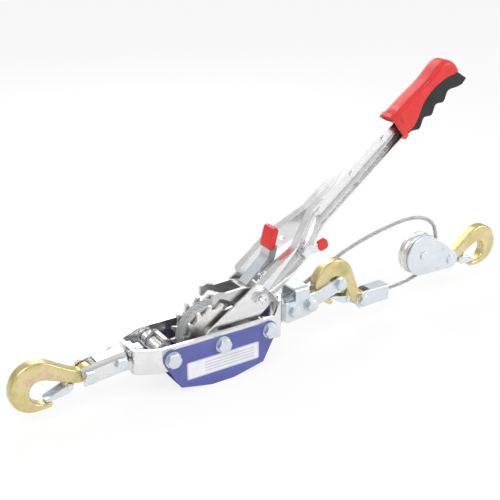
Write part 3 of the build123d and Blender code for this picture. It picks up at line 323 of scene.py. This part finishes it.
# ---------------------------------------------------------------- rope and wire, laid along a path
def wire_tree():
    """Geometry nodes: sweeps a lobed section along the mesh's edges, twisting with the length."""
    tree = bpy.data.node_groups.new("laid_wire", "GeometryNodeTree")
    face = tree.interface
    face.new_socket("Geometry", in_out="INPUT", socket_type="NodeSocketGeometry")
    face.new_socket("Geometry", in_out="OUTPUT", socket_type="NodeSocketGeometry")
    for name, kind in (("Radius", "NodeSocketFloat"), ("Lobes", "NodeSocketFloat"),
                       ("Lobe depth", "NodeSocketFloat"), ("Twist per metre", "NodeSocketFloat"),
                       ("Sides", "NodeSocketInt"), ("Material", "NodeSocketMaterial")):
        face.new_socket(name, in_out="INPUT", socket_type=kind)
    group_in = tree.nodes.new("NodeGroupInput")
    group_out = tree.nodes.new("NodeGroupOutput")

    def add(kind, settings=None, inputs=None):
        node = tree.nodes.new(kind)
        for name, value in (settings or {}).items():
            setattr(node, name, value)
        for socket, value in (inputs or {}).items():
            if isinstance(value, bpy.types.NodeSocket):
                tree.links.new(value, node.inputs[socket])
            else:
                node.inputs[socket].default_value = value
        return node

    def maths(operation, a, b=0.0):
        return add("ShaderNodeMath", {"operation": operation}, {0: a, 1: b}).outputs[0]

    line = add("GeometryNodeMeshToCurve", inputs={"Mesh": group_in.outputs["Geometry"]})
    along = add("GeometryNodeSplineParameter").outputs["Length"]
    twist = maths("MULTIPLY", along, group_in.outputs["Twist per metre"])
    tilted = add("GeometryNodeSetCurveTilt", inputs={"Curve": line.outputs[0], "Tilt": twist})
    marked = add("GeometryNodeStoreNamedAttribute", {"data_type": "FLOAT", "domain": "POINT"},
                 {"Geometry": tilted.outputs[0], "Name": "along", "Value": along})
    ring = add("GeometryNodeCurvePrimitiveCircle", inputs={
        "Resolution": group_in.outputs["Sides"], "Radius": group_in.outputs["Radius"]})
    turn = maths("MULTIPLY", add("GeometryNodeSplineParameter").outputs["Factor"], 2 * math.pi)
    wave = maths("ABSOLUTE", maths("SINE", maths("MULTIPLY", turn, maths(
        "MULTIPLY", group_in.outputs["Lobes"], 0.5))))
    swell = maths("MULTIPLY", maths("SUBTRACT", wave, 1.0), group_in.outputs["Lobe depth"])
    push = add("ShaderNodeVectorMath", {"operation": "SCALE"}, {
        0: add("GeometryNodeInputPosition").outputs[0], "Scale": swell})
    lobed = add("GeometryNodeSetPosition", inputs={"Geometry": ring.outputs[0], "Offset": push.outputs[0]})
    marked_ring = add("GeometryNodeStoreNamedAttribute", {"data_type": "FLOAT", "domain": "POINT"},
                      {"Geometry": lobed.outputs[0], "Name": "around", "Value": turn})
    swept = add("GeometryNodeCurveToMesh", inputs={
        "Curve": marked.outputs[0], "Profile Curve": marked_ring.outputs[0], "Fill Caps": True})
    real = add("GeometryNodeRealizeInstances", inputs={"Geometry": swept.outputs[0]})
    painted = add("GeometryNodeSetMaterial", inputs={
        "Geometry": real.outputs[0], "Material": group_in.outputs["Material"]})
    tree.links.new(painted.outputs[0], group_out.inputs["Geometry"])
    return tree


laid_wire = wire_tree()


def smooth(mesh, angle=35):
    mesh.polygons.foreach_set("use_smooth", [True] * len(mesh.polygons))
    mesh.set_sharp_from_angle(angle=math.radians(angle))


def sweep_wire(name, paths, radius, material, lobes=0, lobe_depth=0.0, twist=0.0, sides=12):
    """A plain mesh swept along each list of points."""
    points = [point for path in paths for point in path]
    edges = []
    start = 0
    for path in paths:
        edges += [(start + k, start + k + 1) for k in range(len(path) - 1)]
        start += len(path)
    line = bpy.data.meshes.new(name)
    line.from_pydata(points, edges, [])
    piece = bpy.data.objects.new(name, line)
    bpy.context.collection.objects.link(piece)
    modifier = piece.modifiers.new("laid_wire", "NODES")
    modifier.node_group = laid_wire
    values = {"Radius": radius, "Lobes": float(lobes), "Lobe depth": lobe_depth,
              "Twist per metre": twist, "Sides": sides, "Material": material}
    for socket in laid_wire.interface.items_tree:
        if socket.in_out == "INPUT" and socket.name in values:
            modifier[socket.identifier] = values[socket.name]
    bpy.context.view_layer.update()
    shaped = bpy.data.meshes.new_from_object(piece.evaluated_get(bpy.context.evaluated_depsgraph_get()))
    piece.modifiers.remove(modifier)
    piece.data = shaped
    shaped.name = name
    if not shaped.materials:
        shaped.materials.append(material)
    smooth(shaped, 50)
    return piece


# ---------------------------------------------------------------- free cable
cable_route = [
    (0.0145, 0, 0.0952), (0.062, 0, 0.081), (0.113, 0.0005, 0.069), (0.150, 0.009, 0.0745),
    (0.187, 0.0145, 0.087), (0.224, 0.014, 0.1055), (0.258, 0.008, 0.121), (0.290, 0.002, 0.132),
    (0.324, 0, 0.138), (0.358, 0, 0.134), (0.382, 0, 0.116), (0.386, 0, 0.0745),
    (0.3752, 0, 0.0538), (0.332, 0, 0.037), (0.290, 0, 0.037),
]


def spline_points(route, steps=12):
    """Points along a smooth open spline whose control points are the route's."""
    curve = bpy.data.curves.new("route", "CURVE")
    curve.dimensions = "3D"
    curve.resolution_u = steps
    spline = curve.splines.new("NURBS")
    spline.points.add(len(route) - 1)
    for point, place in zip(spline.points, route):
        point.co = (*place, 1)
    spline.order_u = 3
    spline.use_endpoint_u = True
    holder = bpy.data.objects.new("route", curve)
    bpy.context.collection.objects.link(holder)
    bpy.context.view_layer.update()
    line = bpy.data.meshes.new_from_object(holder.evaluated_get(bpy.context.evaluated_depsgraph_get()))
    places = [v.co.copy() for v in line.vertices]
    bpy.data.objects.remove(holder)
    return places


rope = {"lobes": 6, "lobe_depth": 0.30, "twist": 2 * math.pi / 0.036, "sides": 48}
cable_path = spline_points(cable_route)
free_cable = sweep_wire("free_cable", [cable_path], cable_d / 2, materials["wire_rope"], **rope)
cable_length = sum((b - a).length for a, b in zip(cable_path, cable_path[1:]))
print("free cable length", round(cable_length, 4))
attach(free_cable, "frame")
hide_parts("cable")


# ---------------------------------------------------------------- cable wound on the drum
def winding_path():
    """Two layers on the drum, the outer one ending under the free cable's start."""
    half_width = 0.013 - cable_d / 2 - 0.0002
    outer_radius = 0.0415 - cable_d / 2
    inner_radius = outer_radius - 0.86 * cable_d
    leave_angle = math.atan2(cable_route[0][2] - axle.z, cable_route[0][0])
    path = []
    steps = 60
    turns = 4
    for radius, sign in ((inner_radius, 1), (outer_radius, -1)):
        for k in range(turns * steps + 1):
            angle = leave_angle + 2 * math.pi * k / steps
            y = sign * half_width * (2 * k / (turns * steps) - 1)
            wander = 0.0003 * math.sin(3.1 * angle + 2 * sign)
            path.append(Vector((math.cos(angle) * (radius + wander), y,
                                axle.z + math.sin(angle) * (radius + wander))))
    lift = math.hypot(cable_route[0][0], cable_route[0][2] - axle.z) - outer_radius
    for k in range(1, steps + 1):
        angle = leave_angle + 2 * math.pi * k / steps
        rise = min(1.0, k / (0.4 * steps))
        radius = outer_radius + lift * rise
        y = -half_width * (1 - k / steps)
        path.append(Vector((math.cos(angle) * radius, y, axle.z + math.sin(angle) * radius)))
    return path


winding = sweep_wire("wound_cable", [winding_path()], cable_d / 2, materials["wire_rope"], **rope)
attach(winding, "drum")
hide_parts("cable_winding")


# ---------------------------------------------------------------- springs
def coil(centre, axis, side_way, radius, turns, length, steps=22):
    """Points of a helix round axis from centre."""
    other = axis.cross(side_way)
    path = []
    for k in range(int(turns * steps) + 1):
        angle = 2 * math.pi * k / steps
        path.append(centre + axis * (length * k / (turns * steps))
                    + side_way * (radius * math.cos(angle)) + other * (radius * math.sin(angle)))
    return path


def draw_spring():
    """Close-wound extension spring with a hook at each end, from the lever's peg to the anchor pin."""
    anchor = pivot["trip_lever_pivot"]
    along = Vector((math.cos(math.radians(38)), 0, math.sin(math.radians(38))))
    up = Vector((-along.z, 0, along.x))
    y = -0.0155
    start = axle + along * 0.097 + up * 0.0084
    start.y = y
    end = Vector((anchor.x, y, anchor.z))
    axis = (end - start).normalized()
    side_way = axis.cross(Vector((0, 1, 0)))
    radius, wire = 0.0046, 0.0018
    body_start = start + axis * 0.009
    body_length = (end - start).length - 0.019
    turns = int(body_length / (wire * 1.12))
    path = coil(body_start, axis, side_way, radius, turns, body_length)
    hook_radius = 0.0045
    first = [start + axis * (hook_radius * math.sin(a)) + side_way * (hook_radius * math.cos(a))
             for a in [math.radians(d) for d in range(-200, 61, 20)]]
    last = [end + axis * (hook_radius * math.sin(a)) + side_way * (hook_radius * math.cos(a))
            for a in [math.radians(d) for d in range(240, 500, 20)]]
    return first + path + last, wire


spring_path, spring_wire = draw_spring()
pawl_spring = sweep_wire("pawl_draw_spring", [spring_path], spring_wire / 2, materials["dark_steel"], sides=10)
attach(pawl_spring, "handle")
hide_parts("pawl_spring")

hold_pivot = pivot["holding_pawl_pivot"]
spring_low, spring_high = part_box("holding_spring")
coil_wire = 0.0022
coil_radius = (spring_high.z - spring_low.z) / 2 - coil_wire / 2
hold_paths = []
for low_y, high_y in ((-0.0298, -0.0178), (-0.0124, 0.0124), (0.0178, 0.0298)):
    length = high_y - low_y - coil_wire
    centre = Vector((hold_pivot.x, low_y + coil_wire / 2, hold_pivot.z))
    turns = int(length / (coil_wire * 1.18)) + 0.5
    hold_paths.append(coil(centre, Vector((0, 1, 0)), Vector((-1, 0, 0)), coil_radius, turns, length, 36))
hold_spring = sweep_wire("holding_coils", hold_paths, coil_wire / 2, materials["chromed_steel"], sides=12)
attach(hold_spring, "frame")
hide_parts("holding_spring")


# ---------------------------------------------------------------- hexagon bolts and nuts
def hex_radius(angle, across_flats, turn):
    step = math.pi / 3
    local = (angle - turn + step / 2) % step - step / 2
    return across_flats / 2 / math.cos(local)


def rings(mesh, centre, levels, samples=72):
    """A closed solid of rings round Y: each level is (y, function of angle giving the radius)."""
    rows = []
    for y, radius_at in levels:
        row = []
        for k in range(samples):
            angle = 2 * math.pi * k / samples
            r = radius_at(angle)
            row.append(mesh.verts.new((centre[0] + r * math.cos(angle), y, centre[1] + r * math.sin(angle))))
        rows.append(row)
    for lower, upper in zip(rows, rows[1:]):
        for k in range(samples):
            n = (k + 1) % samples
            mesh.faces.new((lower[k], lower[n], upper[n], upper[k]))
    mesh.faces.new(rows[0])
    mesh.faces.new(list(reversed(rows[-1])))


def hexagon(mesh, centre, seat, top, across_flats, turn):
    """Hexagon head or nut with turned-down corners on its outer face."""
    way = 1 if top > seat else -1
    corner = across_flats / 2 / math.cos(math.pi / 6)
    flat = across_flats / 2
    cut = 0.18 * across_flats / 2
    levels = [(seat, 0.97 * flat), (seat + way * 0.03 * flat, 0.99 * corner), (seat + way * 0.09 * flat, corner)]
    for t in (0.0, 0.25, 0.5, 0.75, 1.0):
        limit = corner - (corner - 0.93 * flat) * t
        levels.append((top - way * cut * (1 - t) ** 1.5, limit))
    rows = [(y, lambda a, limit=limit: min(limit, hex_radius(a, across_flats, turn))) for y, limit in levels]
    rings(mesh, centre, rows if way > 0 else rows)


def shank(mesh, centre, low, high, diameter, thread_from):
    """Round shank with thread ridges from thread_from to its rounded end."""
    radius = diameter / 2
    pitch = 0.0013
    levels = [(low, radius), (thread_from, radius)]
    count = int((high - thread_from) / pitch)
    for k in range(count):
        base = thread_from + k * pitch
        levels += [(base + 0.35 * pitch, radius - 0.0006), (base + 0.85 * pitch, radius)]
    levels.append((high, radius - 0.0009))
    rings(mesh, centre, [(y, lambda a, r=r: r) for y, r in levels], 48)


frame_places = [(-0.070, axle.z), (0.069, axle.z)]
bolt_sets = {
    "frame_bolts": ("frame", ("cross_bolts", "drum_axle"), 0.017, 0.010, 0.0065, 0.008),
    "fork_bolts": ("frame", ("fork_bolt", "link_pivot_bolt", "socket_bolt"), 0.015, 0.009, 0.006, 0.006),
    "link_bolts": ("link", ("link_end_bolt",), 0.015, 0.009, 0.006, 0.006),
    "swivel_bolts": ("swivel", ("swivel_pivot_bolt",), 0.015, 0.009, 0.006, 0.006),
    "clevis_bolts": ("front_clevis", ("front_hook_bolt",), 0.015, 0.009, 0.006, 0.006),
}
nut_turn = math.radians(20)
for name, (body, replaced, across_flats, diameter, head, nut) in bolt_sets.items():
    mesh = bmesh.new()
    for node in replaced:
        low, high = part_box(node)
        centres = frame_places if node == "cross_bolts" else [((low.x + high.x) / 2, None)]
        for x, z in centres:
            if z is None:
                z = axle.z if node == "drum_axle" else (low.z + high.z) / 2
            nut_face = high.y - 0.3 * diameter
            centre = (x, z)
            hexagon(mesh, centre, low.y + head, low.y, across_flats, math.pi / 6)
            hexagon(mesh, centre, nut_face - nut, nut_face, across_flats, math.pi / 6 - nut_turn)
            shank(mesh, centre, low.y + head / 2, high.y, diameter - 0.0001, nut_face)
    bmesh.ops.recalc_face_normals(mesh, faces=mesh.faces)
    data = bpy.data.meshes.new(name)
    mesh.to_mesh(data)
    mesh.free()
    data.materials.append(materials["zinc_steel"])
    smooth(data, 28)
    piece = bpy.data.objects.new(name, data)
    bpy.context.collection.objects.link(piece)
    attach(piece, body)
    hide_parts(*replaced)

# ---------------------------------------------------------------- finish on every other CAD piece
replaced_nodes = {"cable", "cable_winding", "pawl_spring", "holding_spring"}
for body, replaced, *sizes in bolt_sets.values():
    replaced_nodes.update(replaced)


def smooth_copy(node):
    """The node's own shape with its loose triangles joined and its curved faces shaded smooth."""
    source = nodes[node]
    mesh = bmesh.new()
    mesh.from_mesh(source.data)
    bmesh.ops.remove_doubles(mesh, verts=mesh.verts, dist=0.000002)
    data = bpy.data.meshes.new(node + "_skin")
    mesh.to_mesh(data)
    mesh.free()
    data.materials.clear()
    data.materials.append(materials[slot_of_node[node]])
    for face in data.polygons:
        face.material_index = 0
    smooth(data, 24)
    piece = bpy.data.objects.new(node + "_skin", data)
    bpy.context.collection.objects.link(piece)
    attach(piece, body_of_node[node])
    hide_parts(node)


for node, source in nodes.items():
    if node in replaced_nodes:
        continue
    if node in ("cable_socket", "guard_label"):
        for place in source.material_slots:
            place.material = materials[slot_of_node[node]]
        continue
    smooth_copy(node)

# ---------------------------------------------------------------- floor, lamps and surroundings
floor_data = bpy.data.meshes.new("floor")
reach = 6.0
floor_data.from_pydata(
    [(-reach, -reach, -0.0002), (reach, -reach, -0.0002), (reach, reach, -0.0002), (-reach, reach, -0.0002)],
    [], [(0, 1, 2, 3)])
floor = bpy.data.objects.new("floor", floor_data)
bpy.context.collection.objects.link(floor)
paper = Finish("floor_paper", Roughness=0.9)
paper.shader.inputs["Base Color"].default_value = (0.88, 0.88, 0.88, 1)
seen = paper.node("ShaderNodeLightPath", output="Is Camera Ray")
glow = paper.node("ShaderNodeEmission", inputs={"Color": (1, 1, 1, 1), "Strength": 1.0})
mixed = paper.tree.nodes.new("ShaderNodeMixShader")
plug(paper.tree, mixed.inputs[0], seen * 0.82)
paper.tree.links.new(paper.shader.outputs[0], mixed.inputs[1])
paper.tree.links.new(glow.link, mixed.inputs[2])
paper.tree.links.new(mixed.outputs[0], paper.tree.nodes["Material Output"].inputs[0])
floor_data.materials.append(paper.material)
floor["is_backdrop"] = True

world = bpy.data.worlds.new("studio")
world.use_nodes = True
bpy.context.scene.world = world
sky = world.node_tree.nodes["Background"]
direction = world.node_tree.nodes.new("ShaderNodeTexCoord")
split = world.node_tree.nodes.new("ShaderNodeSeparateXYZ")
world.node_tree.links.new(direction.outputs["Generated"], split.inputs[0])
shade = world.node_tree.nodes.new("ShaderNodeValToRGB")
for point, (position, level) in zip(
        [shade.color_ramp.elements[0], shade.color_ramp.elements[1], shade.color_ramp.elements.new(0.25)],
        ((0.0, 0.42), (0.75, 1.0), (0.28, 0.74))):
    point.position = position
    point.color = (level, level, level, 1)
world.node_tree.links.new(split.outputs["Z"], shade.inputs[0])
world.node_tree.links.new(shade.outputs[0], sky.inputs["Color"])
sky.inputs["Strength"].default_value = 0.80

middle = Vector((0.12, 0, 0.10))
for name, place, size, power in (
        ("key_lamp", (-0.9, -0.7, 1.3), 0.8, 11.0), ("side_lamp", (1.3, -0.9, 0.8), 0.9, 8.0),
        ("back_lamp", (0.5, 1.3, 1.1), 0.9, 9.0)):
    lamp_data = bpy.data.lights.new(name, "AREA")
    lamp_data.size = size
    lamp_data.energy = power
    lamp = bpy.data.objects.new(name, lamp_data)
    lamp.location = place
    lamp.rotation_mode = "QUATERNION"
    lamp.rotation_quaternion = (Vector(place) - middle).to_track_quat("Z", "Y")
    bpy.context.collection.objects.link(lamp)

bpy.context.scene.view_settings.view_transform = "Standard"

low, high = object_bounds()
